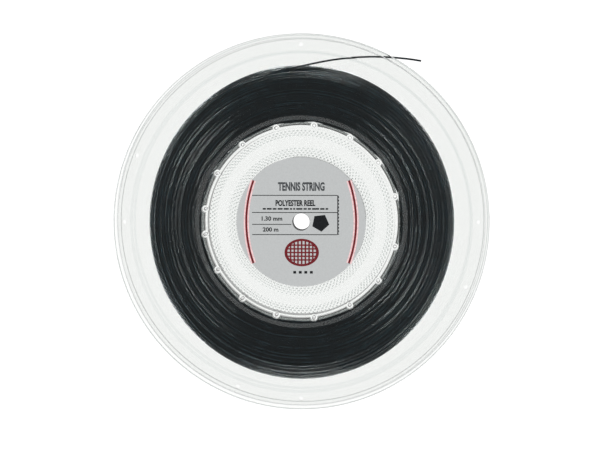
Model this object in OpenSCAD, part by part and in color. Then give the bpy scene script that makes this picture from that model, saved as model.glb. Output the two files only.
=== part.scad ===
// Reel of tennis string: two clear mouldings pressed together, the front one with tie holes, two round labels,
// the wound string and its loose end. Millimetres. The reel's axis is Y, its front looks along -Y,
// and the origin is the centre of the spindle bore, on the plane where the two mouldings meet.

/* [Reel] */
// Outer diameter over the rims
reel_d = 264; // [250:1:290]
// Gap between the two flanges beside the winding
channel_w = 16.5; // [14:0.5:20]
// Thickness of the moulded walls
wall = 1.5; // [1.2:0.1:2]
// Diameter of the spindle bore
bore_d = 12; // [8:0.5:14]
// Wall of the sleeve round the bore
sleeve_wall = 2; // [1.5:0.1:3]

/* [Flange] */
// Radius where the flat of the flange turns into a cone
cone_r = 109; // [100:1:112]
// Radius where the cone ends in a small step
step_r = 118.5; // [113:0.5:119]
// Radial width of the step
step_w = 1.8; // [1:0.1:2.2]
// How far the cone leans outwards
cone_rise = 1.35; // [0.5:0.05:2]
// How far the step adds to that
step_rise = 0.6; // [0.3:0.05:1]
// Radial width of the rounded rim bead
bead_w = 3; // [2.5:0.1:4]
// Height of the rim bead
bead_h = 2.7; // [2.3:0.1:3.2]
// Corner radius of the rim bead
bead_corner = 0.6; // [0.5:0.05:1.2]
// Diameter of the small holes that tie the string's end
tie_hole_d = 3; // [2:0.1:3.2]
// Radius of the circle that the tie holes are on
tie_circle_r = 124.2; // [122:0.2:126]
// Radius of the low raised ring outside the bosses
ring_r = 73.2; // [73:0.1:76]
// Width of that ring
ring_w = 3; // [0.8:0.1:3.2]
// Height of that ring
ring_h = 0.3; // [0.2:0.05:0.5]

/* [Drum] */
// Outer radius of the drum wall
drum_r = 67.9; // [67:0.1:68]
// Thickness of the drum wall
drum_wall = 2; // [1.6:0.1:3]
// Fillet between the drum wall and the flange
drum_fillet = 2; // [0.5:0.1:2]
// Radius of the circle that the pin and socket bosses are on
boss_circle_r = 68.2; // [68:0.1:68.4]
// Outer radius of a boss
boss_r = 2.6; // [2.4:0.1:2.6]
// Radius of a locating pin
pin_r = 1.2; // [1:0.05:1.3]
// Clearance round a pin in its socket
pin_clearance = 0.05; // [0.02:0.01:0.1]
// How far a pin reaches into the other moulding
pin_reach = 5; // [3:0.5:6]
// Radius of the core in a pin's boss
core_r = 1; // [0.8:0.1:1.2]

/* [Label] */
// Radius of a label
label_r = 45.5; // [40:0.5:46]
// Thickness of a label
label_t = 0.2; // [0.1:0.05:0.3]
// Radius of the hole in a label
label_hole_r = 6.2; // [6:0.1:8]
// Depth of the recess that a label lies in
recess_depth = 0.3; // [0.2:0.05:0.5]

/* [String] */
// Diameter of the string
string_d = 1.3; // [1.2:0.01:1.35]
// Radius of the full winding
winding_r = 109; // [100:0.2:110]
// Gap between the winding and each flange
side_gap = 0.15; // [0.05:0.05:0.3]
// How far the winding's edges are worn down, across the width
edge_w = 3.6; // [3:0.1:4]
// How far the winding's edges are worn down, along the radius
edge_drop = 3; // [2.8:0.1:4]

/* [Hidden] */
$fn = 96;

reel_r = reel_d / 2;
bore_r = bore_d / 2;
face_in = channel_w / 2;
face_out = face_in + wall;
rim_in = face_in + cone_rise + step_rise;
bead_r = reel_r - bead_w;
bead_low = rim_in + wall / 2 - bead_h / 2;
recess_r = label_r + 0.3;
recess_face = face_out - recess_depth;
eps = 0.01;

// Directions of the sockets in one moulding; its pins stand at the opposite angles, so that a second
// one turned over about X takes them.
socket_angles = [15, -37.5, 60, -82.5, 105, -127.5, 150, -172.5];
boss_angles = concat(socket_angles, -socket_angles);
tie_angles = [0, 90, 158, 180, 249, 270, 338.5];

// Corners of the winding's inner outline: straight runs of string from boss to boss.
winding_corner_r = boss_circle_r + boss_r + 0.15;
corner_angles = [15, 37.5, 60, 82.5, 105, 127.5, 150, 172.5, 187.5, 210, 232.5, 255, 277.5, 300, 322.5, 345];
winding_half_w = face_in - side_gap;

// Route of the loose end, from where it lifts off the winding to its cut tip.
end_route = [
    [-22, -7.4, 104.5], [-16, -7.4, 105.8], [-8, -7.4, 107.6], [0, -7.4, 109.3], [8, -7.4, 111.0],
    [16, -7.3, 112.6], [24, -7.2, 113.9], [32, -7.1, 114.8], [40, -7.0, 115.4], [48, -6.9, 115.7],
    [56, -6.8, 115.6], [63, -6.7, 115.3], [70, -6.6, 114.7], [77, -6.5, 113.9], [84, -6.4, 112.8]
];
route_steps = 3;
tube_sides = 8;

// ---- outline of one moulding: x is the radius, y the height above the plane where the halves meet

module ring_at(r, low, w, h) {
    translate([r, low]) square([w, h]);
}

module flange_outline() {
    ring_at(bore_r, face_in, cone_r - bore_r, wall);
    ring_at(ring_r - ring_w / 2, face_out - eps, ring_w, ring_h + eps);
    step_end = step_r + step_w;
    polygon([
        [cone_r - eps, face_in], [step_r, face_in + cone_rise], [step_end, rim_in], [bead_r + 1, rim_in],
        [bead_r + 1, rim_in + wall], [step_end, rim_in + wall], [step_r, face_out + cone_rise],
        [cone_r - eps, face_out]
    ]);
}

module bead_outline() {
    ring_at(bead_r + bead_corner, bead_low, bead_w - 2 * bead_corner, bead_h);
    ring_at(bead_r, bead_low + bead_corner, bead_w, bead_h - 2 * bead_corner);
    for (x = [bead_r + bead_corner, reel_r - bead_corner])
        for (y = [bead_low + bead_corner, bead_low + bead_h - bead_corner])
            translate([x, y]) circle(r = bead_corner);
}

module drum_outline() {
    ring_at(bore_r, 0, sleeve_wall, face_in + eps);
    ring_at(drum_r - drum_wall, 0, drum_wall, face_in + eps);
    difference() {
        ring_at(drum_r - eps, face_in - drum_fillet, drum_fillet + eps, drum_fillet + eps);
        translate([drum_r + drum_fillet, face_in - drum_fillet]) circle(r = drum_fillet);
    }
}

module half_shell() {
    rotate_extrude() {
        flange_outline();
        bead_outline();
        drum_outline();
    }
}

module on_circle(angles, r) {
    for (a = angles) rotate([0, 0, a]) translate([r, 0, 0]) children();
}

// One moulding, standing on the plane z = 0 with its outer face up, and tie holes in these directions.
module half(ties) {
    difference() {
        union() {
            half_shell();
            on_circle(boss_angles, boss_circle_r) cylinder(r = boss_r, h = face_out);
        }
        translate([0, 0, recess_face]) cylinder(r = recess_r, h = wall);
        translate([0, 0, -1]) cylinder(r = bore_r, h = face_out + 2);
        on_circle(socket_angles, boss_circle_r)
            translate([0, 0, -1]) cylinder(r = pin_r + pin_clearance, h = face_out + 2);
        on_circle(-socket_angles, boss_circle_r)
            translate([0, 0, face_out - 7]) cylinder(r = core_r, h = 8);
        on_circle(ties, tie_circle_r)
            translate([0, 0, rim_in - 1]) cylinder(r = tie_hole_d / 2, h = wall + 2);
    }
    on_circle(-socket_angles, boss_circle_r) locating_pin();
}

module locating_pin() {
    tip = 0.4;
    translate([0, 0, tip - pin_reach]) cylinder(r = pin_r, h = pin_reach - tip + 1);
    translate([0, 0, -pin_reach]) cylinder(r1 = pin_r - tip / 2, r2 = pin_r, h = tip);
}

module label() {
    difference() {
        cylinder(r = label_r, h = label_t);
        translate([0, 0, -1]) cylinder(r = label_hole_r, h = label_t + 2);
    }
}

// ---- the loose end: a tube swept along a smooth curve through its route

function catmull(a, b, c, d, t) =
    0.5 * (2 * b + (c - a) * t + (2 * a - 5 * b + 4 * c - d) * t * t + (3 * b - a - 3 * c + d) * t * t * t);

function route_point(p, i, t) =
    let (last = len(p) - 1)
    catmull(p[max(i - 1, 0)], p[i], p[min(i + 1, last)], p[min(i + 2, last)], t);

function smooth_route(p, steps) = concat(
    [for (i = [0 : len(p) - 2]) for (k = [0 : steps - 1]) route_point(p, i, k / steps)],
    [p[len(p) - 1]]);

function unit(v) = v / norm(v);
function direction(p, i) = unit(p[min(i + 1, len(p) - 1)] - p[max(i - 1, 0)]);

function ring_points(p, i, r, sides) =
    let (along = direction(p, i), up = unit(cross(along, [0, 1, 0])), side = cross(up, along))
    [for (k = [0 : sides - 1]) let (a = 360 * k / sides) p[i] + r * (cos(a) * up + sin(a) * side)];

module tube(p, r, sides) {
    rings = len(p);
    points = [for (i = [0 : rings - 1]) each ring_points(p, i, r, sides)];
    walls = [for (i = [0 : rings - 2]) for (k = [0 : sides - 1])
        let (a = i * sides + k, b = i * sides + (k + 1) % sides) each [[a, a + sides, b], [b, a + sides, b + sides]]];
    first_cap = [for (k = [0 : sides - 1]) k];
    last_cap = [for (k = [sides - 1 : -1 : 0]) (rings - 1) * sides + k];
    polyhedron(points = points, faces = concat(walls, [first_cap, last_cap]), convexity = 4);
}

// ---- the pieces, in place

module front_half() {
    color("aliceblue") rotate([90, 0, 0]) half(tie_angles);
}

module rear_half() {
    color("aliceblue") rotate([-90, 0, 0]) half([]);
}

module front_label() {
    color("silver") translate([0, -recess_face, 0]) rotate([90, 0, 0]) label();
}

module rear_label() {
    color("silver") translate([0, recess_face, 0]) rotate([-90, 0, 0]) label();
}

module string_winding() {
    edge_flat = winding_half_w - edge_w;
    color("darkslategray") rotate([90, 0, 0]) difference() {
        rotate_extrude() polygon([
            [boss_circle_r - 4, -winding_half_w], [winding_r - edge_drop, -winding_half_w],
            [winding_r, -edge_flat], [winding_r, edge_flat],
            [winding_r - edge_drop, winding_half_w], [boss_circle_r - 4, winding_half_w]
        ]);
        translate([0, 0, -channel_w]) linear_extrude(height = 2 * channel_w)
            polygon([for (a = corner_angles) winding_corner_r * [cos(a), sin(a)]]);
    }
}

module string_end() {
    color("black") tube(smooth_route(end_route, route_steps), string_d / 2, tube_sides);
}

front_half();
rear_half();
front_label();
rear_label();
string_winding();
string_end();
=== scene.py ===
"""A clear reel of tennis string with its labels, its winding and its loose end, in metres."""

import math
import random
from functools import partial

import bmesh
import bpy
from mathutils import Matrix, Vector, noise


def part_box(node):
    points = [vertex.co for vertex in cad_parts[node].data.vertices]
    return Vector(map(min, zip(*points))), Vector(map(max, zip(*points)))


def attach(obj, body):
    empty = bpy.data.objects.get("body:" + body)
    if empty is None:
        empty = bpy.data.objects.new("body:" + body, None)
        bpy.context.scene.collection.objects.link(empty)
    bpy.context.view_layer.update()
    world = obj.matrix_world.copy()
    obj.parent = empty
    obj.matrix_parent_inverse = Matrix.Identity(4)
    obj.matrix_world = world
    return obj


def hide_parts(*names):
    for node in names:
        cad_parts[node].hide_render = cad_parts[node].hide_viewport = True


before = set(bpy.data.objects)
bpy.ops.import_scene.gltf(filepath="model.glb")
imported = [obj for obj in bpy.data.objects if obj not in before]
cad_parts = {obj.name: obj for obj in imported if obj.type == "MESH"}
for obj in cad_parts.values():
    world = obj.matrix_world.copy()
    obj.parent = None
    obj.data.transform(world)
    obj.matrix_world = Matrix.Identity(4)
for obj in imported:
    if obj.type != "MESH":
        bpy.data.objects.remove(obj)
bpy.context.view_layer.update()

bl_info = {
    "name": "Tennis String Reel",
    "version": (1, 0, 0),
    "blender": (4, 5, 0),
    "location": "3D View > Sidebar > String Reel",
    "description": "Makes a clear string reel with its winding, labels and loose end",
    "category": "Add Mesh",
}

MM = 0.001
MOULDING_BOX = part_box("front_half")
LABEL_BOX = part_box("front_label")

# A piece is drawn flat, with x to the right, y up and z out of the face, then turned into its place.
FRONT = Matrix.Rotation(math.radians(90), 4, "X")
REAR_MOULDING = Matrix.Rotation(math.radians(180), 4, "X") @ FRONT
REAR_LABEL = Matrix.Rotation(math.radians(180), 4, "Z") @ FRONT

# Directions of one moulding's sockets; its pins stand at the opposite angles.
# Tie holes are in the front moulding alone.
SOCKET_ANGLES = (15, -37.5, 60, -82.5, 105, -127.5, 150, -172.5)
PIN_ANGLES = tuple(-a for a in SOCKET_ANGLES)
TIE_ANGLES = (0, 90, 158, 180, 249, 270, 338.5)
BOSS_ANGLES = sorted(a % 360 for a in SOCKET_ANGLES + PIN_ANGLES)

# Collections of the pieces on which a lamp gives no more than a glare:
# all of the winding, and its outer turns.
WINDING_GLARE = "winding glare"
OUTER_GLARE = "outer turns glare"

# Gap that keeps the pips and the frosted rings off the face that they stand on.
FACE_GAP = 0.005 * MM

# Route of the loose end, from where it lifts off the winding to its cut tip.
END_ROUTE = [
    (-0.022, -0.0074, 0.1045), (-0.016, -0.0074, 0.1058), (-0.008, -0.0074, 0.1076), (0, -0.0074, 0.1093),
    (0.008, -0.0074, 0.1110), (0.016, -0.0073, 0.1126), (0.024, -0.0072, 0.1139), (0.032, -0.0071, 0.1148),
    (0.040, -0.0070, 0.1154), (0.048, -0.0069, 0.1157), (0.056, -0.0068, 0.1156), (0.063, -0.0067, 0.1153),
    (0.070, -0.0066, 0.1147), (0.077, -0.0065, 0.1139), (0.084, -0.0064, 0.1128),
]


# ---------------------------------------------------------------- small tools


def linear(hex_colour):
    """An sRGB hex colour as linear red, green and blue with an alpha of 1."""
    parts = [int(hex_colour[i : i + 2], 16) / 255 for i in (1, 3, 5)]
    return [p / 12.92 if p <= 0.04045 else ((p + 0.055) / 1.055) ** 2.4 for p in parts] + [1.0]


def add_node(tree, kind, links=None, **settings):
    """Adds a node, sets its properties, and fills its sockets with values or with other nodes' outputs."""
    node = tree.nodes.new(kind)
    for name, value in settings.items():
        setattr(node, name, value)
    for name, value in (links or {}).items():
        if isinstance(value, bpy.types.NodeSocket):
            tree.links.new(value, node.inputs[name])
        else:
            node.inputs[name].default_value = value
    return node


def length(label, description, default):
    """A size in metres."""
    return bpy.props.FloatProperty(
        name=label, description=description, default=default, unit="LENGTH", subtype="DISTANCE", precision=5
    )


def count(label, description, default):
    """A whole number."""
    return bpy.props.IntProperty(name=label, description=description, default=default, min=1)


def share(label, description, default):
    """A number without a unit."""
    return bpy.props.FloatProperty(name=label, description=description, default=default, precision=3)


def colour(label, description, hex_colour):
    """A colour, given as sRGB hex."""
    return bpy.props.FloatVectorProperty(
        name=label, description=description, default=linear(hex_colour), size=4, subtype="COLOR", min=0, max=1
    )


def evaluated_mesh(piece, name):
    """The piece's mesh with all of its modifiers applied."""
    ready = piece.evaluated_get(bpy.context.evaluated_depsgraph_get())
    mesh = bpy.data.meshes.new_from_object(ready)
    mesh.name = name
    return mesh


def place_object(name, data):
    """Puts a mesh or a curve into the scene."""
    piece = bpy.data.objects.new(name, data)
    bpy.context.scene.collection.objects.link(piece)
    return piece


def discard(*pieces):
    """Removes helper objects with their data."""
    for piece in pieces:
        data = piece.data
        bpy.data.objects.remove(piece)
        if data.users:
            continue
        if isinstance(data, bpy.types.Mesh):
            bpy.data.meshes.remove(data)
        else:
            bpy.data.curves.remove(data)


def mesh_from(bm, name):
    """A mesh from a bmesh, with its doubles merged and its faces pointing outwards."""
    bmesh.ops.remove_doubles(bm, verts=bm.verts, dist=1e-7)
    bmesh.ops.recalc_face_normals(bm, faces=bm.faces)
    mesh = bpy.data.meshes.new(name)
    bm.to_mesh(mesh)
    bm.free()
    return mesh


def placed_copy(mesh, turn):
    """A copy of a mesh, turned into its place."""
    own = mesh.copy()
    own.transform(turn)
    return own


def catches_glare(piece, glare):
    """Puts a piece into the collection that the lamps of this glare shine on, where there is one."""
    if glare in bpy.data.collections:
        bpy.data.collections[glare].objects.link(piece)


def finish_piece(piece, material, slot, *nodes):
    """Gives a piece its material and its body, and hides the CAD nodes that it stands for."""
    if material.name not in piece.data.materials:
        piece.data.materials.append(material)
    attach(piece, "root")
    if nodes:
        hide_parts(*nodes)
    return piece


def catmull_rom(points, steps):
    """A smooth line through the points, with this many steps from each one to the next."""
    p = [Vector(q) for q in points]
    last = len(p) - 1
    line = []
    for i in range(last):
        a, b, c, d = p[max(i - 1, 0)], p[i], p[i + 1], p[min(i + 2, last)]
        square, cube = 2 * a - 5 * b + 4 * c - d, 3 * b - a - 3 * c + d
        for k in range(steps):
            t = k / steps
            line.append(0.5 * (2 * b + (c - a) * t + square * t**2 + cube * t**3))
    return line + [p[last]]


# ---------------------------------------------------------------- sizes and colours


class REEL_PG_moulding(bpy.types.PropertyGroup):
    """Sizes of one clear moulding."""

    reel_r: length("Reel radius", "Radius over the rim", MOULDING_BOX[1].x)
    channel_half: length("Half channel", "From the middle plane to the inside of the flange", 8.25 * MM)
    wall: length("Wall", "Thickness of the moulded walls", 1.5 * MM)
    bore_r: length("Bore radius", "Radius of the spindle bore", 6 * MM)
    sleeve_wall: length("Sleeve wall", "Wall of the sleeve round the bore", 2 * MM)
    cone_r: length("Cone radius", "Where the flat of the flange turns into a cone", 109 * MM)
    step_r: length("Step radius", "Where the cone ends in a small step", 118.5 * MM)
    step_w: length("Step width", "Radial width of the step", 1.8 * MM)
    cone_rise: length("Cone rise", "How far the cone leans outwards", 1.35 * MM)
    step_rise: length("Step rise", "How far the step adds to that", 0.6 * MM)
    bead_w: length("Bead width", "Radial width of the rim bead", 3 * MM)
    bead_h: length("Bead height", "Height of the rim bead", 2.7 * MM)
    bead_corner: length("Bead corner", "Corner radius of the rim bead", 0.6 * MM)
    ring_r: length("Frosted ring radius", "Middle radius of the raised frosted ring", 73.2 * MM)
    ring_w: length("Frosted ring width", "Width of the raised frosted ring", 3 * MM)
    ring_h: length("Frosted ring height", "Height of the raised frosted ring", 0.3 * MM)
    drum_r: length("Drum radius", "Outer radius of the drum wall", 67.9 * MM)
    drum_wall: length("Drum wall", "Thickness of the drum wall", 2 * MM)
    fillet: length("Fillet", "Fillet between the drum wall and the flange", 2 * MM)
    recess_r: length("Recess radius", "Radius of the label's recess", 45.8 * MM)
    recess_depth: length("Recess depth", "Depth of the label's recess", 0.3 * MM)
    boss_circle_r: length("Boss circle", "Radius of the circle of bosses", 68.2 * MM)
    boss_r: length("Boss radius", "Outer radius of a boss", 2.6 * MM)
    pin_r: length("Pin radius", "Radius of a locating pin", 1.2 * MM)
    socket_r: length("Socket radius", "Radius of a socket", 1.25 * MM)
    core_r: length("Core radius", "Radius of the core in a pin's boss", 1 * MM)
    pin_reach: length("Pin reach", "How far a pin reaches into the other moulding", 5 * MM)
    tie_circle_r: length("Tie circle", "Radius of the circle of tie holes", 124.2 * MM)
    tie_hole_r: length("Tie hole radius", "Radius of a tie hole", 1.5 * MM)
    segments: count("Segments", "Facets round the reel", 240)


class REEL_PG_pips(bpy.types.PropertyGroup):
    """Sizes of the two bands of moulded pips."""

    inner_r: length("Inner band", "Radius of the inner band's first row", 46.9 * MM)
    inner_rows: count("Inner rows", "Rows in the inner band", 4)
    inner_pips: count("Inner pips", "Pips in each row of the inner band", 108)
    outer_r: length("Outer band", "Radius of the outer band's first row", 61.0 * MM)
    outer_rows: count("Outer rows", "Rows in the outer band", 3)
    outer_pips: count("Outer pips", "Pips in each row of the outer band", 140)
    row_gap: length("Row gap", "Distance from row to row", 1.55 * MM)
    base_r: length("Base radius", "Radius at the foot of a pip", 0.5 * MM)
    top_r: length("Top radius", "Radius at the top of a pip", 0.25 * MM)
    height: length("Height", "Height of a pip", 0.15 * MM)


class REEL_PG_string(bpy.types.PropertyGroup):
    """Sizes of the string and of its winding."""

    diameter: length("Diameter", "Diameter of the string", 1.3 * MM)
    first_r: length("First radius", "Radius of the first turn over a boss", 71.6 * MM)
    last_r: length("Last radius", "Mean radius of the outermost turns", 108.6 * MM)
    travel: length("Travel", "How far the turns spread along the reel's axis", 14.8 * MM)
    layers: count("Layers", "Layers of turns, an even number", 30)
    turns: share("Turns", "Turns in each layer", 11.8)
    steps: count("Steps", "Points in each turn", 96)
    sides: count("Sides", "Sides of the string's section", 6)
    oval: length("Oval", "How far the outermost turns bulge at the top and bottom", 1.65 * MM)
    sag: length("Edge sag", "How far the outermost turns sink beside the flanges", 2.3 * MM)
    droop: length("Droop", "How far the outermost turns hang below the axis", 0.8 * MM)
    recess: share("Recess", "How far some of the turns beside a flange stand back from it, as a share", 0.14)
    ruffle: length("Ruffle", "How unevenly the turns stand beside a flange", 0.8 * MM)
    wander: length("Wander", "How far a turn wanders from its place", 0.16 * MM)
    seed: count("Seed", "Seed of the turns' wander", 7)


class REEL_PG_label(bpy.types.PropertyGroup):
    """Sizes of a label."""

    radius: length("Radius", "Radius of the label", LABEL_BOX[1].x)
    hole_r: length("Hole radius", "Radius of the hole in the label", 6.2 * MM)
    thickness: length("Thickness", "Thickness of the label", 0.2 * MM)
    face: length("Face", "From the middle plane to the label's face", -LABEL_BOX[0].y)
    ink: length("Ink", "Thickness of the printing", 0.03 * MM)


class REEL_PG_finish(bpy.types.PropertyGroup):
    """Colours and finish."""

    styrene: colour("Polystyrene", "Tint of the clear mouldings", "#FBFCFB")
    # The rim, step and fillet tints are painted shade: greyer copies of the clear tint that stand in for the
    # dark lines at the corners and steps and for the dim gap beside the drum.
    styrene_rim_shade: colour("Polystyrene rim", "Tint of the rim beads' corners", "#D5D9D8")
    styrene_step_shade: colour("Polystyrene step", "Tint of the low steps and pips", "#EDF0EF")
    styrene_fillet_shade: colour("Polystyrene fillet", "Tint of the fillet round the drum", "#9DA2A1")
    label: colour("Label", "Colour of the label stock", "#B3B5B5")
    dark_ink: colour("Dark ink", "Colour of the dark printing", "#181B1E")
    grey_ink: colour("Grey ink", "Colour of the title's printing", "#424548")
    red_ink: colour("Red ink", "Colour of the red printing", "#6E141C")
    pale_ink: colour("Pale ink", "Colour of the pale borders", "#E2BCBD")
    string_dark: colour("String, dark", "Darkest colour of the string", "#0C161A")
    string_light: colour("String, light", "Lightest colour of the string", "#1B2B31")


# ---------------------------------------------------------------- materials


def new_material(name):
    """An empty node material and its output node."""
    material = bpy.data.materials.new(name)
    material.use_nodes = True
    material.node_tree.nodes.clear()
    return material, material.node_tree, add_node(material.node_tree, "ShaderNodeOutputMaterial")


def fine_noise(tree, grain, detail=2.0, roughness=0.5):
    """A noise of this grain, in metres, that stays in place on the piece."""
    where = add_node(tree, "ShaderNodeTexCoord")
    pattern = {
        "Vector": where.outputs["Object"], "Scale": 1 / grain, "Detail": detail, "Roughness": roughness,
    }
    return add_node(tree, "ShaderNodeTexNoise", pattern).outputs["Fac"]


def surface_bump(tree, grain, depth):
    """A normal that ripples by depth over this grain, both in metres."""
    ripples = {"Height": fine_noise(tree, grain), "Distance": depth, "Strength": 1.0}
    return add_node(tree, "ShaderNodeBump", ripples).outputs["Normal"]


def scaled(shade, factor):
    """A colour this many times as bright, and no brighter than white."""
    return [min(c * factor, 1) for c in shade[:3]] + [1]


def shade_ramp(tree, value, *stops):
    """The colour of a value between two stops, each a position and a colour."""
    ramp = add_node(tree, "ShaderNodeValToRGB", {"Fac": value})
    for k, (position, shade) in enumerate(stops):
        ramp.color_ramp.elements[k].position = position
        ramp.color_ramp.elements[k].color = shade
    return ramp.outputs["Color"]


def moulded_polystyrene(name, tint, roughness, clearness, grain, depth):
    """Polystyrene of this roughness and this share of see-through, with ripples of this grain and depth."""
    material, tree, output = new_material(name)
    plastic = add_node(
        tree, "ShaderNodeBsdfPrincipled",
        {
            "Base Color": tint, "Roughness": roughness, "IOR": 1.59, "Transmission Weight": clearness,
            "Normal": surface_bump(tree, grain, depth),
        },
    )
    open_way = add_node(tree, "ShaderNodeBsdfTransparent", {"Color": tint})
    path = add_node(tree, "ShaderNodeLightPath").outputs
    lamp_or_bounce = math_node(tree, "MAXIMUM", path["Is Shadow Ray"], path["Is Diffuse Ray"])
    ways = {0: lamp_or_bounce, 1: plastic.outputs[0], 2: open_way.outputs[0]}
    mixed = add_node(tree, "ShaderNodeMixShader", ways)
    tree.links.new(mixed.outputs[0], output.inputs["Surface"])
    return material


def clear_polystyrene(tint):
    """Injection moulded polystyrene: glass-clear with a high index, so its edges and steps draw grey lines,
    and with faint flow ripples. Lamps shine straight through it."""
    return moulded_polystyrene("clear moulded polystyrene", tint, 0.015, 1.0, 14 * MM, 0.02 * MM)


def shaded_edge_polystyrene(name, tint):
    """The same plastic at its corners and steps, with a greyer tint as painted shade for light that comes a
    longer way through them and is bent off.
    """
    return moulded_polystyrene(name, tint, 0.03, 1.0, 14 * MM, 0.02 * MM)


def styrene_materials(finish):
    """The clear plastic of the faces, then its greyer copies, painted shade, for the rim, for the low steps
    and pips, and for the fillet.
    """
    edges = []
    for part, tint in (
        ("rim", finish.styrene_rim_shade), ("step", finish.styrene_step_shade), ("fillet", finish.styrene_fillet_shade),
    ):
        name = f"moulded polystyrene {part}"
        edges.append(shared_material(name, partial(shaded_edge_polystyrene, name), tint))
    return [shared_material("clear moulded polystyrene", clear_polystyrene, finish.styrene)] + edges


def frosted_polystyrene(tint):
    """The same plastic from an etched part of the mould: it scatters a little light as a grey haze."""
    return moulded_polystyrene("frosted moulded polystyrene", tint, 0.15, 0.983, 3 * MM, 0.002 * MM)


def satin_label_stock(shade):
    """Silver-grey film sticker: an even satin sheen with a faint grain, drawn coarse enough to show."""
    material, tree, output = new_material("satin silver film")
    grain = fine_noise(tree, 0.9 * MM, 3.0, 0.6)
    film = add_node(
        tree, "ShaderNodeBsdfPrincipled",
        {
            "Base Color": shade_ramp(tree, grain, (0.3, scaled(shade, 0.94)), (0.7, scaled(shade, 1.04))),
            "Roughness": 0.42, "IOR": 1.5,
            "Normal": surface_bump(tree, 0.5 * MM, 0.004 * MM),
        },
    )
    tree.links.new(film.outputs[0], output.inputs["Surface"])
    return material


def printing_ink(name, shade):
    """Screen-printed ink: dense and slightly glossy, a little uneven where it was laid down."""
    material, tree, output = new_material(name)
    lay = fine_noise(tree, 1.6 * MM, 2.0, 0.55)
    uneven = shade_ramp(tree, lay, (0.35, scaled(shade, 0.85)), (0.65, scaled(shade, 1.2)))
    ink = add_node(tree, "ShaderNodeBsdfPrincipled", {"Base Color": uneven, "Roughness": 0.3, "IOR": 1.5})
    tree.links.new(ink.outputs[0], output.inputs["Surface"])
    return material


def extruded_polyester(dark, light):
    """Extruded co-polyester monofilament: near black, smooth and glossy, each turn a shade apart
    from the next."""
    material, tree, output = new_material("extruded co-polyester")
    turn = add_node(tree, "ShaderNodeAttribute", attribute_name="turn_shade")
    mixed = math_node(tree, "ADD", turn.outputs["Fac"], fine_noise(tree, 9 * MM))
    string = add_node(
        tree, "ShaderNodeBsdfPrincipled",
        {
            "Base Color": shade_ramp(tree, mixed, (0.35, dark), (1.0, light)),
            "Roughness": 0.17, "IOR": 1.5, "Specular IOR Level": 0.5,
            "Normal": surface_bump(tree, 1.1 * MM, 0.004 * MM),
        },
    )
    tree.links.new(string.outputs[0], output.inputs["Surface"])
    return material


def shared_material(name, make, *colours):
    """The material of this name, made on first use."""
    return bpy.data.materials.get(name) or make(*colours)


def string_material(finish):
    """The material of the winding and of the loose end."""
    shades = finish.string_dark, finish.string_light
    return shared_material("extruded co-polyester", extruded_polyester, *shades)


# ---------------------------------------------------------------- node trees


def new_tree(name, inputs):
    """A geometry tree with a geometry input and output and the named inputs, with both of its end nodes."""
    tree = bpy.data.node_groups.new(name, "GeometryNodeTree")
    tree.interface.new_socket("Geometry", in_out="INPUT", socket_type="NodeSocketGeometry")
    tree.interface.new_socket("Geometry", in_out="OUTPUT", socket_type="NodeSocketGeometry")
    for label, kind in inputs:
        tree.interface.new_socket(label, in_out="INPUT", socket_type=kind)
    return tree, add_node(tree, "NodeGroupInput").outputs, add_node(tree, "NodeGroupOutput")


def end_tree(tree, geometry, material, end):
    """Ends a tree in Realize Instances and Set Material."""
    real = add_node(tree, "GeometryNodeRealizeInstances", {"Geometry": geometry})
    smooth = add_node(tree, "GeometryNodeSetShadeSmooth", {"Geometry": real.outputs[0]})
    painted = add_node(tree, "GeometryNodeSetMaterial", {"Geometry": smooth.outputs[0], "Material": material})
    tree.links.new(painted.outputs[0], end.inputs["Geometry"])


def math_node(tree, operation, a, b=0.0):
    """The result of one sum."""
    return add_node(tree, "ShaderNodeMath", {0: a, 1: b}, operation=operation).outputs[0]


def pip_band_tree():
    """Rows of small moulded pips round a centre, each row half a step on from the last."""
    tree, given, end = new_tree(
        "pip band",
        [
            ("First row radius", "NodeSocketFloat"), ("Rows", "NodeSocketInt"),
            ("Pips per row", "NodeSocketInt"), ("Row gap", "NodeSocketFloat"),
            ("Foot radius", "NodeSocketFloat"), ("Top radius", "NodeSocketFloat"),
            ("Pip height", "NodeSocketFloat"), ("Face height", "NodeSocketFloat"),
            ("Material", "NodeSocketMaterial"),
        ],
    )
    total = math_node(tree, "MULTIPLY", given["Rows"], given["Pips per row"])
    line = add_node(tree, "GeometryNodeMeshLine", {"Count": total})
    index = add_node(tree, "GeometryNodeInputIndex").outputs[0]
    row = math_node(tree, "FLOOR", math_node(tree, "DIVIDE", index, given["Pips per row"]))
    half_step = math_node(tree, "MULTIPLY", math_node(tree, "MODULO", row, 2.0), 0.5)
    turn = math_node(tree, "DIVIDE", math_node(tree, "ADD", index, half_step), given["Pips per row"])
    angle = math_node(tree, "MULTIPLY", turn, 2 * math.pi)
    outwards = math_node(tree, "MULTIPLY", row, given["Row gap"])
    radius = math_node(tree, "ADD", given["First row radius"], outwards)
    spot = add_node(
        tree, "ShaderNodeCombineXYZ",
        {
            "X": math_node(tree, "MULTIPLY", radius, math_node(tree, "COSINE", angle)),
            "Y": math_node(tree, "MULTIPLY", radius, math_node(tree, "SINE", angle)),
            "Z": given["Face height"],
        },
    )
    places = {"Geometry": line.outputs[0], "Position": spot.outputs[0]}
    laid = add_node(tree, "GeometryNodeSetPosition", places)
    pip = add_node(
        tree, "GeometryNodeMeshCone",
        {
            "Vertices": 10, "Side Segments": 1, "Fill Segments": 1, "Radius Top": given["Top radius"],
            "Radius Bottom": given["Foot radius"], "Depth": given["Pip height"],
        },
    )
    copies = {"Points": laid.outputs[0], "Instance": pip.outputs["Mesh"]}
    pips = add_node(tree, "GeometryNodeInstanceOnPoints", copies)
    end_tree(tree, pips.outputs[0], given["Material"], end)
    return tree


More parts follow.
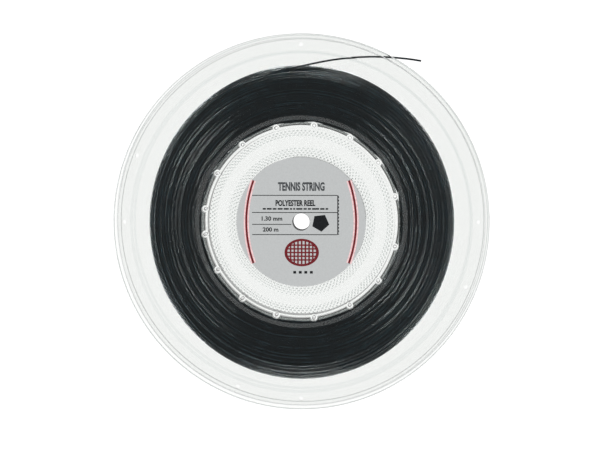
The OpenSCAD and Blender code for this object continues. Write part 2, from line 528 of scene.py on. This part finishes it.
def string_tree():
    """A round string swept along a chain of edges."""
    tree, given, end = new_tree(
        "string along a path",
        [("Diameter", "NodeSocketFloat"), ("Sides", "NodeSocketInt"), ("Material", "NodeSocketMaterial")],
    )
    chain = add_node(tree, "GeometryNodeMeshToCurve", {"Mesh": given["Geometry"]})
    section = add_node(
        tree, "GeometryNodeCurvePrimitiveCircle",
        {"Resolution": given["Sides"], "Radius": math_node(tree, "MULTIPLY", given["Diameter"], 0.5)},
    )
    swept = add_node(
        tree, "GeometryNodeCurveToMesh",
        {"Curve": chain.outputs[0], "Profile Curve": section.outputs[0], "Fill Caps": True},
    )
    end_tree(tree, swept.outputs[0], given["Material"], end)
    return tree


def grown(mesh, tree, name, **inputs):
    """The plain mesh that a geometry tree makes from a mesh, with the tree's inputs set by their names."""
    helper = place_object(name, mesh)
    modifier = helper.modifiers.new(tree.name, "NODES")
    modifier.node_group = tree
    sockets = {s.name: s.identifier for s in tree.interface.items_tree if s.in_out == "INPUT"}
    for label, value in inputs.items():
        modifier[sockets[label.replace("_", " ")]] = value
    result = evaluated_mesh(helper, name)
    discard(helper)
    return result


# ---------------------------------------------------------------- clear mouldings


def rounded_outline(corners, steps=4):
    """A closed outline of points (x, y, mark) from corners (x, y, radius, mark), each rounded to its radius.
    A narrow level strip on both sides of a rounded corner keeps the shading of its neighbours flat."""
    strip = 0.04 * MM
    outline = []
    for i, (x, y, radius, *mark) in enumerate(corners):
        corner, mark = Vector((x, y)), mark[0] if mark else 0
        if not radius:
            outline.append((x, y, mark))
            continue
        before = Vector(corners[i - 1][:2]) - corner
        after = Vector(corners[(i + 1) % len(corners)][:2]) - corner
        half = before.angle(after) / 2
        run = min(radius / math.tan(half), before.length * 0.48, after.length * 0.48)
        strip_run = run + min(strip, before.length * 0.01, after.length * 0.01)
        centre = corner + (before.normalized() + after.normalized()).normalized() * run / math.cos(half)
        start = corner + before.normalized() * run - centre
        finish = corner + after.normalized() * run - centre
        outline.append((*(corner + before.normalized() * strip_run), mark))
        for k in range(steps + 1):
            outline.append((*(centre + start.slerp(finish, k / steps) * start.length), mark))
        outline.append((*(corner + after.normalized() * strip_run), mark))
    return outline


def turned(bm, outline, segments, centre=(0.0, 0.0), closed=True):
    """Turns an outline of radius, height and mark round an axis that stands at centre. Where both ends of
    a span have the same mark, its last digit is the number of its faces' material."""
    x, y = centre
    rings = []
    for k in range(segments):
        a = 2 * math.pi * k / segments
        rings.append([bm.verts.new((x + p[0] * math.cos(a), y + p[0] * math.sin(a), p[1])) for p in outline])
    spans = len(outline) if closed else len(outline) - 1
    for k in range(segments):
        here, there = rings[k], rings[(k + 1) % segments]
        for i in range(spans):
            j = (i + 1) % len(outline)
            face = bm.faces.new((here[i], there[i], there[j], here[j]))
            if len(outline[i]) > 2 and outline[i][2] == outline[j][2]:
                face.material_index = outline[i][2] % 10


def on_circle(angle, radius):
    """A point at this angle, in degrees, on a circle."""
    return radius * math.cos(math.radians(angle)), radius * math.sin(math.radians(angle))


def moulding_outline(m):
    """Section of one moulding, from the bore outwards, as radius and height above the middle plane."""
    inside, outside = m.channel_half, m.channel_half + m.wall
    cone, step = m.cone_rise, m.cone_rise + m.step_rise
    step_end, bead = m.step_r + m.step_w, m.reel_r - m.bead_w
    bead_low = inside + step + (m.wall - m.bead_h) / 2
    bead_top = bead_low + m.bead_h
    drum_in = m.drum_r - m.drum_wall
    recess = outside - m.recess_depth
    # Marks 11, 12, 13, 21, 31 and 42 give the rim, the steps and the fillet their greyer tints, which are
    # painted shade.
    return rounded_outline([
        (m.bore_r, 0, 0), (m.bore_r + m.sleeve_wall, 0, 0), (m.bore_r + m.sleeve_wall, inside, 0.25 * MM),
        (drum_in, inside, 0), (drum_in, 0, 0), (m.drum_r, 0, 0), (m.drum_r, inside, m.fillet, 13),
        (m.cone_r, inside, 60 * MM), (m.step_r, inside + cone, 0.4 * MM), (step_end, inside + step, 0.4 * MM),
        (bead, inside + step, 0.25 * MM), (bead, bead_low, 0.4 * MM, 11),
        (m.reel_r, bead_low, m.bead_corner, 21), (m.reel_r, bead_top, m.bead_corner, 31),
        (bead, bead_top, m.bead_corner * 0.8, 42),
        (bead, outside + step, 0.25 * MM), (step_end, outside + step, 0.4 * MM, 12),
        (m.step_r, outside + cone, 0.4 * MM, 12), (m.cone_r, outside, 60 * MM),
        (m.recess_r, outside, 0.15 * MM), (m.recess_r, recess, 0.1 * MM), (m.bore_r, recess, 0.3 * MM),
    ])


def frosted_ring_outline(m):
    """Section of the raised frosted ring, which lies on the flange."""
    low, high = m.channel_half + m.wall + FACE_GAP, m.channel_half + m.wall + m.ring_h
    inner, outer = m.ring_r - m.ring_w / 2, m.ring_r + m.ring_w / 2
    edge = 0.12 * MM
    return rounded_outline([(inner, low, 0), (outer, low, 0), (outer, high, edge), (inner, high, edge)])


def stud(reach, radius, boss_r, top):
    """Section of a boss that stands under the flange, with a pin of this reach, or none, below it."""
    low = 0.02 * MM
    boss = [(boss_r, low), (boss_r, top), (0, top)]
    if not reach:
        return [(0, low)] + boss
    tip = 0.4 * MM
    return [(0, -reach), (radius - tip / 2, -reach), (radius, tip - reach), (radius, low)] + boss


def hole_section(radius, low, high):
    """Section of a round hole."""
    return [(0, low), (radius, low), (radius, high), (0, high)]


def studs_and_cutters(m, ties):
    """The bosses and pins to add to a moulding, and the holes to cut from it, with ties at these angles."""
    added, removed = bmesh.new(), bmesh.new()
    inside_wall = m.channel_half + m.wall / 2
    core_low, below, above = 2.75 * MM, -1 * MM, m.channel_half + m.wall + 1 * MM
    for angle in SOCKET_ANGLES + PIN_ANGLES:
        spot = on_circle(angle, m.boss_circle_r)
        is_pin = angle in PIN_ANGLES
        boss = stud(m.pin_reach if is_pin else 0, m.pin_r, m.boss_r, inside_wall)
        turned(added, boss, 28, spot, closed=False)
        low, radius = (core_low, m.core_r) if is_pin else (below, m.socket_r)
        turned(removed, hole_section(radius, low, above), 28, spot, closed=False)
    tie_hole = hole_section(m.tie_hole_r, m.channel_half, 2 * m.channel_half)
    for angle in ties:
        turned(removed, tie_hole, 24, on_circle(angle, m.tie_circle_r), closed=False)
    bosses = place_object("studs", mesh_from(added, "studs"))
    return bosses, place_object("holes", mesh_from(removed, "holes"))


def moulding_mesh(m, ties, materials):
    """One clear moulding, with its bosses, pins and holes, lying on its middle plane."""
    shell = bmesh.new()
    turned(shell, moulding_outline(m), m.segments)
    body = place_object("moulding", mesh_from(shell, "moulding"))
    for material in materials:
        body.data.materials.append(material)
    added, removed = studs_and_cutters(m, ties)
    for other, operation in ((added, "UNION"), (removed, "DIFFERENCE")):
        modifier = body.modifiers.new(other.name, "BOOLEAN")
        modifier.object, modifier.operation, modifier.solver = other, operation, "EXACT"
    carved = place_object("carved", evaluated_mesh(body, "carved"))
    carved.data.shade_smooth()
    carved.data.set_sharp_from_angle(angle=math.radians(32))
    weighted = carved.modifiers.new("even faces", "WEIGHTED_NORMAL")
    weighted.keep_sharp = True
    mesh = evaluated_mesh(carved, "moulding")
    discard(body, added, removed, carved)
    return mesh


class REEL_OT_mouldings(bpy.types.Operator):
    """Make the two clear mouldings, the front one with tie holes, the rear one turned over"""

    bl_idname = "reel.mouldings"
    bl_label = "Clear mouldings"

    def execute(self, context):
        settings = context.scene.string_reel
        materials = styrene_materials(settings.finish)
        for side, turn, ties in (("front", FRONT, TIE_ANGLES), ("rear", REAR_MOULDING, ())):
            mesh = moulding_mesh(settings.moulding, ties, materials)
            mesh.transform(turn)
            piece = place_object(f"{side}_moulding", mesh)
            finish_piece(piece, materials[0], "clear_styrene", f"{side}_half")
        return {"FINISHED"}


class REEL_OT_frosted_rings(bpy.types.Operator):
    """Make the raised frosted ring of each moulding"""

    bl_idname = "reel.frosted_rings"
    bl_label = "Frosted rings"

    def execute(self, context):
        settings = context.scene.string_reel
        material = frosted_polystyrene(settings.finish.styrene)
        ring = bmesh.new()
        turned(ring, frosted_ring_outline(settings.moulding), settings.moulding.segments)
        mesh = mesh_from(ring, "frosted_ring")
        mesh.shade_smooth()
        mesh.set_sharp_from_angle(angle=math.radians(32))
        for side, turn in (("front", FRONT), ("rear", REAR_MOULDING)):
            piece = place_object(f"{side}_frosted_ring", placed_copy(mesh, turn))
            finish_piece(piece, material, "clear_styrene")
        return {"FINISHED"}


class REEL_OT_pips(bpy.types.Operator):
    """Make the bands of small pips moulded on the faces beside the labels"""

    bl_idname = "reel.pips"
    bl_label = "Moulded pips"

    def execute(self, context):
        settings = context.scene.string_reel
        m, p = settings.moulding, settings.pips
        # The pips take the greyer step tint, which is painted shade.
        material = styrene_materials(settings.finish)[2]
        tree = pip_band_tree()
        bands = bmesh.new()
        for first, rows, pips in (
            (p.inner_r, p.inner_rows, p.inner_pips), (p.outer_r, p.outer_rows, p.outer_pips),
        ):
            band = grown(
                bpy.data.meshes.new("band"), tree, "band",
                First_row_radius=first, Rows=rows, Pips_per_row=pips,
                Row_gap=p.row_gap, Foot_radius=p.base_r, Top_radius=p.top_r, Pip_height=p.height,
                Face_height=m.channel_half + m.wall + FACE_GAP, Material=material,
            )
            bands.from_mesh(band)
        mesh = mesh_from(bands, "pips")
        mesh.shade_smooth()
        mesh.set_sharp_from_angle(angle=math.radians(40))
        for side, turn in (("front", FRONT), ("rear", REAR_MOULDING)):
            piece = place_object(f"{side}_pips", placed_copy(mesh, turn))
            finish_piece(piece, material, "clear_styrene")
        return {"FINISHED"}


# ---------------------------------------------------------------- labels and their printing

# Places and sizes of the printing, in millimetres from the label's centre: the ruled panel with its toothed
# right side, the bowed side lines and the racket head.
PANEL_LEFT, PANEL_RIGHT, PANEL_TOP, PANEL_LOW = -34.5, 25.4, 18.6, -9.0
PANEL_LINE, PANEL_TEETH, TOOTH_ROOT, TOOTH_TIP = 0.52, 23, 26.0, 26.7
SIDE_CENTRE, SIDE_SPREAD = -47.4, 19.8
HEAD_X, HEAD_Y, HEAD_HALF_W, HEAD_HALF_H, HEAD_RIM, HEAD_GAP = 0.4, -21.6, 12.1, 9.7, 2.0, 2.6


def patch(bm, points):
    """A printed shape with these corners, in millimetres on the label."""
    bm.faces.new([bm.verts.new((x * MM, y * MM, 0)) for x, y in points])


def bar(bm, x0, y0, x1, y1):
    """A printed rectangle, in millimetres on the label."""
    patch(bm, ((x0, y0), (x1, y0), (x1, y1), (x0, y1)))


def band(bm, inner, outer):
    """A printed band between two lines with as many points each, in millimetres."""
    sides = [[bm.verts.new((x * MM, y * MM, 0)) for x, y in line] for line in (inner, outer)]
    for i in range(len(inner) - 1):
        bm.faces.new((sides[0][i], sides[1][i], sides[1][i + 1], sides[0][i + 1]))


def arc(x, y, radius, start, stop, steps, squeeze=1.0):
    """Points of an arc about a centre, in millimetres and degrees, its height multiplied by squeeze."""
    angles = [math.radians(start + (stop - start) * k / steps) for k in range(steps + 1)]
    return [(x + radius * math.cos(a), y + squeeze * radius * math.sin(a)) for a in angles]


def words(bm, text, x, y, width, height, weight):
    """Plain words that fill a rectangle centred at x, y, in millimetres, fattened by weight, a share of
    the type size."""
    letters = bpy.data.curves.new(text, "FONT")
    letters.body = text
    letters.offset = weight
    letters.resolution_u = 3
    helper = place_object("words", letters)
    mesh = evaluated_mesh(helper, "words")
    xs, ys = [v.co.x for v in mesh.vertices], [v.co.y for v in mesh.vertices]
    middle = Vector(((min(xs) + max(xs)) / 2, (min(ys) + max(ys)) / 2, 0))
    fit = Matrix.Diagonal((width * MM / (max(xs) - min(xs)), height * MM / (max(ys) - min(ys)), 1, 1))
    mesh.transform(Matrix.Translation((x * MM, y * MM, 0)) @ fit @ Matrix.Translation(-middle))
    bm.from_mesh(mesh)
    discard(helper)


def small_print(bm, x, y, width, height, seed):
    """A line of print too small to read, as short bars."""
    draw = random.Random(seed)
    right = x + width
    while x < right - height:
        run = min(draw.uniform(1.2, 4.5) * height, right - x)
        bar(bm, x, y - height / 2, x + run, y + height / 2)
        x += run + 0.7 * height


def raised(bm, name, face, thickness):
    """Turns flat printing into thin ink that lies on the face."""
    bmesh.ops.remove_doubles(bm, verts=bm.verts, dist=1e-6)
    swept = bmesh.ops.extrude_face_region(bm, geom=bm.faces[:])["geom"]
    tops = [v for v in swept if isinstance(v, bmesh.types.BMVert)]
    bmesh.ops.translate(bm, verts=tops, vec=(0, 0, thickness))
    bmesh.ops.translate(bm, verts=bm.verts, vec=(0, 0, face))
    return mesh_from(bm, name)


def dark_printing():
    """Ruled panel, words, numbers and small signs."""
    bm = bmesh.new()
    for y, right in (
        (PANEL_TOP, PANEL_RIGHT), (6.55, PANEL_RIGHT), (PANEL_LOW, PANEL_RIGHT), (-1.8, -6.8),
    ):
        bar(bm, PANEL_LEFT, y - PANEL_LINE / 2, right, y + PANEL_LINE / 2)
    rows = [PANEL_TOP - (PANEL_TOP - PANEL_LOW) * k / PANEL_TEETH for k in range(PANEL_TEETH + 1)]
    teeth = [(TOOTH_TIP if k % 2 else TOOTH_ROOT, y) for k, y in enumerate(rows)]
    band(bm, [(PANEL_RIGHT, y) for y in rows], teeth)
    words(bm, "POLYESTER REEL", -4.0, 13.2, 28.0, 4.3, 0.04)
    small_print(bm, -27, 9.1, 46, 1.1, 3)
    words(bm, "1.30 mm", -20.5, 2.3, 14.5, 3.1, 0.03)
    words(bm, "200 m", -21.5, -5.4, 11.0, 3.1, 0.03)
    patch(bm, arc(13.6, -0.6, 6.3, 60, 348, 4))
    for x in (-5.5, -1.6, 2.3, 6.2):
        bar(bm, x, -36.4, x + 2.0, -34.6)
    return bm


def title_printing():
    """The title, in a lighter ink."""
    bm = bmesh.new()
    words(bm, "TENNIS STRING", 0.1, 24.8, 32.8, 6.2, 0.04)
    return bm


def side_line(bm, side, inner, outer):
    """A bowed line at the label's left or right side, between these two radii."""
    lines = [arc(SIDE_CENTRE, 0, radius, -SIDE_SPREAD, SIDE_SPREAD, 32) for radius in (inner, outer)]
    band(bm, *([(side * x, y) for x, y in line] for line in lines))


def pale_printing():
    """Pale borders on both sides of the red lines."""
    bm = bmesh.new()
    for side in (-1, 1):
        side_line(bm, side, 84.2, 85.2)
        side_line(bm, side, 86.8, 87.8)
    return bm


def red_printing():
    """Two bowed lines at the sides and a racket head with its upright strings."""
    bm = bmesh.new()
    for side in (-1, 1):
        side_line(bm, side, 85.3, 86.7)
    squeeze = HEAD_HALF_H / HEAD_HALF_W
    inner_w, inner_h = HEAD_HALF_W - HEAD_RIM, HEAD_HALF_H - HEAD_RIM
    band(bm, *(arc(HEAD_X, HEAD_Y, radius, 0, 360, 48, squeeze) for radius in (inner_w, HEAD_HALF_W)))
    for k in range(-3, 4):
        x = HEAD_GAP * k
        y = inner_h * math.sqrt(1 - (x / inner_w) ** 2)
        bar(bm, HEAD_X + x - 0.55, HEAD_Y - y - 0.4, HEAD_X + x + 0.55, HEAD_Y + y + 0.4)
    return bm


def red_cross_strings():
    """The strings that cross the racket head from side to side, in a layer of their own."""
    bm = bmesh.new()
    for k in range(-2, 3):
        y = HEAD_GAP * k
        x = (HEAD_HALF_W - HEAD_RIM) * math.sqrt(1 - (y / (HEAD_HALF_H - HEAD_RIM)) ** 2)
        bar(bm, HEAD_X - x - 0.4, HEAD_Y + y - 0.5, HEAD_X + x + 0.4, HEAD_Y + y + 0.5)
    return bm


class REEL_OT_labels(bpy.types.Operator):
    """Make the round labels and their printing, front and rear"""

    bl_idname = "reel.labels"
    bl_label = "Labels"

    def execute(self, context):
        settings = context.scene.string_reel
        sizes, finish = settings.label, settings.finish
        stock = shared_material("satin silver film", satin_label_stock, finish.label)
        dark = printing_ink("dark printing ink", finish.dark_ink)
        title = printing_ink("grey printing ink", finish.grey_ink)
        red = printing_ink("red printing ink", finish.red_ink)
        pale = printing_ink("pale printing ink", finish.pale_ink)
        low, edge = sizes.face - sizes.thickness, 0.05 * MM
        disc = bmesh.new()
        section = rounded_outline([
            (sizes.hole_r, low, 0), (sizes.radius, low, 0),
            (sizes.radius, sizes.face, edge), (sizes.hole_r, sizes.face, edge),
        ], 2)
        turned(disc, section, 192)
        parts = [("label", mesh_from(disc, "label"), stock, "label_stock")]
        for name, printing, thickness, material, slot in (
            ("dark_print", dark_printing, sizes.ink, dark, "label_ink"),
            ("title_print", title_printing, sizes.ink, title, "label_ink"),
            ("pale_print", pale_printing, sizes.ink, pale, "label_red"),
            ("red_print", red_printing, sizes.ink, red, "label_red"),
            ("red_cross_print", red_cross_strings, 0.8 * sizes.ink, red, "label_red"),
        ):
            parts.append((name, raised(printing(), name, sizes.face, thickness), material, slot))
        for side, turn in (("front", FRONT), ("rear", REAR_LABEL)):
            for name, mesh, material, slot in parts:
                piece = place_object(f"{side}_{name}", placed_copy(mesh, turn))
                finish_piece(piece, material, slot, *([f"{side}_label"] if name == "label" else []))
        return {"FINISHED"}


# ---------------------------------------------------------------- string

# For this many turns before a fold, and again after it, the string stays beside a flange.
# It climbs to the next layer in three times as many.
FOLD_DWELL = 0.45
# How fast the straight runs from boss to boss turn into a circle, as layers are added.
CORNER_FADE = 2.6
# Spread of the noise round the reel, and its step from layer to layer, for the turns beside a flange.
EDGE_SPREAD, EDGE_STEP = 0.6, 3.7
# Spread round the reel of the noise by which a turn wanders, and its step from turn to turn.
WANDER_SPREAD, WANDER_STEP = 1.3, 0.37


def boss_polygon(angle):
    """How far in the first turns run between two bosses, as a share of their radius over a boss."""
    angle %= 360
    above = next((a for a in BOSS_ANGLES if a >= angle), BOSS_ANGLES[0] + 360)
    below = max((a for a in BOSS_ANGLES if a <= angle), default=BOSS_ANGLES[-1] - 360)
    if above - below < 1e-6:
        return 1.0
    half = math.radians(above - below) / 2
    return math.cos(half) / math.cos(math.radians(angle - (above + below) / 2))


def turn_place(s, wound, end_angle, total):
    """Where the string lies after so many turns: its angle in radians, its radius and its place
    on the axis."""
    angle = end_angle + 360 * (total - wound)
    layer = wound / s.turns
    filled = layer / s.layers
    fold = layer % 2
    swing = fold if fold <= 1 else 2 - fold
    dwell = FOLD_DWELL / s.turns
    swing = min(max((swing - dwell) / (1 - 2 * dwell), 0), 1)
    climb = min(max((layer % 1 - 1 + 3 * dwell) / (3 * dwell), 0), 1)
    level = math.floor(layer) + climb * climb * (3 - 2 * climb)
    radius = s.first_r + (s.last_r - s.first_r) * min(level / (s.layers - 1), 1)
    corner = max(1 - filled * CORNER_FADE, 0)
    radius *= 1 + (boss_polygon(angle) - 1) * corner
    turn = math.radians(angle)
    radius -= s.oval * filled**3 * math.cos(2 * turn) + s.droop * filled**3 * math.sin(turn)
    beside = abs(2 * swing - 1)
    edge = beside**4
    around = math.cos(turn), math.sin(turn)
    layer_spot = Vector((around[0] * EDGE_SPREAD, around[1] * EDGE_SPREAD, round(layer) * EDGE_STEP + s.seed))
    sunk = min(max(0.9 - noise.noise(layer_spot) * 5, 0), 1)
    ruffled = s.ruffle * abs(noise.noise(layer_spot * 1.7))
    across = (swing - 0.5) * (s.travel - edge * (s.travel * s.recess * sunk + ruffled))
    radius -= s.sag * filled**2 * beside**3
    spot = Vector((around[0] * WANDER_SPREAD, around[1] * WANDER_SPREAD, wound * WANDER_STEP))
    radius += s.wander * noise.noise(spot + Vector((s.seed, 0, 0))) * (0.4 + filled)
    across += s.wander * noise.noise(spot + Vector((0, s.seed, 0))) * (1 - edge)
    return turn, radius, across


def winding_path(s, first, last):
    """Points of the string from one turn to another, and a shade for each.
    The last turn runs into the loose end."""
    start = Vector(END_ROUTE[0])
    end_angle = math.degrees(math.atan2(start.z, start.x))
    total = s.layers * s.turns
    _, end_r, end_y = turn_place(s, total, end_angle, total)
    miss_r, miss_y = math.hypot(start.x, start.z) - end_r, start.y - end_y
    points, shades = [], []
    for k in range(round(first * s.steps), round(last * s.steps) + 1):
        wound = k / s.steps
        turn, radius, across = turn_place(s, wound, end_angle, total)
        near = max(1 - (total - wound) * 2, 0) ** 2
        radius += near * miss_r
        across += near * miss_y
        points.append((radius * math.cos(turn), across, radius * math.sin(turn)))
        shades.append(random.Random(int(wound * 2) * 31 + s.seed).uniform(-0.25, 0.35))
    return points, shades


class REEL_OT_winding(bpy.types.Operator):
    """Wind the string on the drum, turn beside turn and layer on layer"""

    bl_idname = "reel.winding"
    bl_label = "String winding"

    def execute(self, context):
        settings = context.scene.string_reel
        s = settings.string
        material = string_material(settings.finish)
        tree = string_tree()
        total = s.layers * s.turns
        for name, first, last in (
            ("inner_turns", 0, 0.4), ("middle_turns", 0.4, 0.8), ("outer_turns", 0.8, 1),
        ):
            points, shades = winding_path(s, total * first, total * last)
            chain = bpy.data.meshes.new(name)
            chain.from_pydata(points, [(k, k + 1) for k in range(len(points) - 1)], [])
            chain.attributes.new("turn_shade", "FLOAT", "POINT").data.foreach_set("value", shades)
            mesh = grown(chain, tree, name, Diameter=s.diameter, Sides=s.sides, Material=material)
            piece = place_object(name, mesh)
            finish_piece(piece, material, "string", "string_winding")
            catches_glare(piece, WINDING_GLARE)
            if name == "outer_turns":
                catches_glare(piece, OUTER_GLARE)
        return {"FINISHED"}


class REEL_OT_loose_end(bpy.types.Operator):
    """Make the loose end of the string, which springs off the winding and ends cut past the rim"""

    bl_idname = "reel.loose_end"
    bl_label = "Loose end"

    def execute(self, context):
        settings = context.scene.string_reel
        s = settings.string
        material = string_material(settings.finish)
        line = catmull_rom(END_ROUTE, 4)
        curve = bpy.data.curves.new("loose_end", "CURVE")
        curve.dimensions = "3D"
        curve.bevel_depth = s.diameter / 2
        curve.bevel_resolution = 4
        curve.use_fill_caps = True
        spline = curve.splines.new("POLY")
        spline.points.add(len(line) - 1)
        for point, spot in zip(spline.points, line):
            point.co = (*spot, 1)
        piece = place_object("loose_end", curve)
        finish_piece(piece, material, "string", "string_end")
        return {"FINISHED"}


# ---------------------------------------------------------------- stage


def soft_lamp(name, place, width, height, power, seen_by=None):
    """A soft box that shines at the reel and isn't seen through the clear plastic. Where it is seen by a
    collection, it gives that collection's pieces a glare and no more."""
    light = bpy.data.lights.new(name, "AREA")
    light.shape, light.size, light.size_y, light.energy = "RECTANGLE", width, height, power
    light.color = (0.93, 0.98, 1.0)
    lamp = place_object(name, light)
    lamp.location = place
    lamp.rotation_euler = (-Vector(place)).to_track_quat("-Z", "Y").to_euler()
    lamp.visible_camera = False
    lamp.visible_transmission = False
    lamp.visible_diffuse = seen_by is None
    lamp.light_linking.receiver_collection = seen_by


def studio_world(scene, glow, side, mirrored, behind):
    """A white room of this glow. Light that clear plastic has bent far off its way meets the dim sides
    of the room, and a surface mirrors the room dimly, but brighter from inside the plastic towards the
    wall behind the reel."""
    world = bpy.data.worlds.new("white room")
    world.use_nodes = True
    tree = world.node_tree
    tree.nodes.clear()
    path = add_node(tree, "ShaderNodeLightPath").outputs
    heading = add_node(tree, "ShaderNodeTexCoord").outputs["Generated"]
    depth = add_node(tree, "ShaderNodeSeparateXYZ", {"Vector": heading}).outputs["Y"]

    def shade(value, start, stop, low, high):
        """This value as a strength that rises from low to high."""
        ramp = {"Value": value, "From Min": start, "From Max": stop, "To Min": low, "To Max": high}
        return add_node(tree, "ShaderNodeMapRange", ramp).outputs[0]

    def pick(test, otherwise, value):
        """The second strength where the path has passed the test, else the first."""
        passed = math_node(tree, "GREATER_THAN", path[test], 0.5)
        return add_node(tree, "ShaderNodeMix", {0: passed, 2: otherwise, 3: value}).outputs[0]

    bent = shade(math_node(tree, "ABSOLUTE", depth), 0.3, 0.9, side, glow)
    reflected = pick("Transmission Depth", mirrored, shade(depth, -0.3, 0.5, mirrored, behind))
    strength = pick("Glossy Depth", pick("Transmission Depth", glow, bent), reflected)
    background = add_node(tree, "ShaderNodeBackground", {"Color": (1, 1, 1, 1), "Strength": strength})
    output = add_node(tree, "ShaderNodeOutputWorld")
    tree.links.new(background.outputs[0], output.inputs["Surface"])
    scene.world = world


class REEL_OT_stage(bpy.types.Operator):
    """Set up the camera, the white room and the soft light"""

    bl_idname = "reel.stage"
    bl_label = "Stage"

    def execute(self, context):
        scene = context.scene
        camera = place_object("camera", bpy.data.cameras.new("camera"))
        camera.data.lens = 135
        target = Vector((-0.7 * MM, MOULDING_BOX[0].y, -2.1 * MM))
        distance, azimuth, elevation = 1.578, math.radians(2), math.radians(2.5)
        back = Vector((
            math.sin(azimuth) * math.cos(elevation),
            -math.cos(azimuth) * math.cos(elevation),
            math.sin(elevation),
        ))
        camera.location = target + distance * back
        camera.rotation_euler = (-back).to_track_quat("-Z", "Y").to_euler()
        camera.data.clip_start = 0.05
        scene.camera = camera

        winding, outer = bpy.data.collections.new(WINDING_GLARE), bpy.data.collections.new(OUTER_GLARE)
        soft_lamp("left soft box", (-1.3, -0.4, 0.15), width=0.5, height=0.9, power=4)
        soft_lamp("right soft box", (1.3, -0.4, 0.1), width=0.5, height=0.9, power=3)
        for side, angle, power in (
            ("left", 180, 34), ("upper left", 145, 60), ("lower left", 215, 60),
            ("right", 0, 34), ("upper right", 35, 30), ("lower right", -35, 50),
        ):
            x, z = on_circle(angle, 1.15)
            soft_lamp(f"{side} strip", (x, -0.2, z), width=0.06, height=0.7, power=power, seen_by=winding)
        for side, z in (("high", 1.1), ("low", -1.1)):
            soft_lamp(f"{side} strip", (0, -0.25, z), width=0.8, height=0.1, power=120, seen_by=outer)
        studio_world(scene, glow=1.13, side=0.2, mirrored=0.1, behind=0.6)
        scene.view_settings.view_transform = "Standard"
        return {"FINISHED"}


# ---------------------------------------------------------------- panel and registration

MAKERS = (
    REEL_OT_stage, REEL_OT_loose_end, REEL_OT_mouldings, REEL_OT_frosted_rings, REEL_OT_pips, REEL_OT_labels,
    REEL_OT_winding,
)


class REEL_PG_settings(bpy.types.PropertyGroup):
    """All sizes and colours of the reel."""

    moulding: bpy.props.PointerProperty(type=REEL_PG_moulding)
    pips: bpy.props.PointerProperty(type=REEL_PG_pips)
    string: bpy.props.PointerProperty(type=REEL_PG_string)
    label: bpy.props.PointerProperty(type=REEL_PG_label)
    finish: bpy.props.PointerProperty(type=REEL_PG_finish)


class REEL_PT_panel(bpy.types.Panel):
    """Lists the reel's pieces."""

    bl_idname = "REEL_PT_panel"
    bl_label = "String Reel"
    bl_space_type = "VIEW_3D"
    bl_region_type = "UI"
    bl_category = "String Reel"

    def draw(self, context):
        for maker in MAKERS:
            self.layout.operator(maker.bl_idname)


CLASSES = (
    REEL_PG_moulding, REEL_PG_pips, REEL_PG_string, REEL_PG_label, REEL_PG_finish, REEL_PG_settings,
    *MAKERS, REEL_PT_panel,
)


def register():
    """Registers the classes and the settings."""
    for item in CLASSES:
        bpy.utils.register_class(item)
    bpy.types.Scene.string_reel = bpy.props.PointerProperty(type=REEL_PG_settings)


def unregister():
    """Takes the settings and the classes out again."""
    del bpy.types.Scene.string_reel
    for item in reversed(CLASSES):
        bpy.utils.unregister_class(item)


def main():
    """Makes the reel on its stage."""
    register()
    bpy.ops.reel.stage()
    bpy.ops.reel.loose_end()
    bpy.ops.reel.mouldings()
    bpy.ops.reel.frosted_rings()
    bpy.ops.reel.pips()
    bpy.ops.reel.labels()
    bpy.ops.reel.winding()


if __name__ == "__main__":
    main()
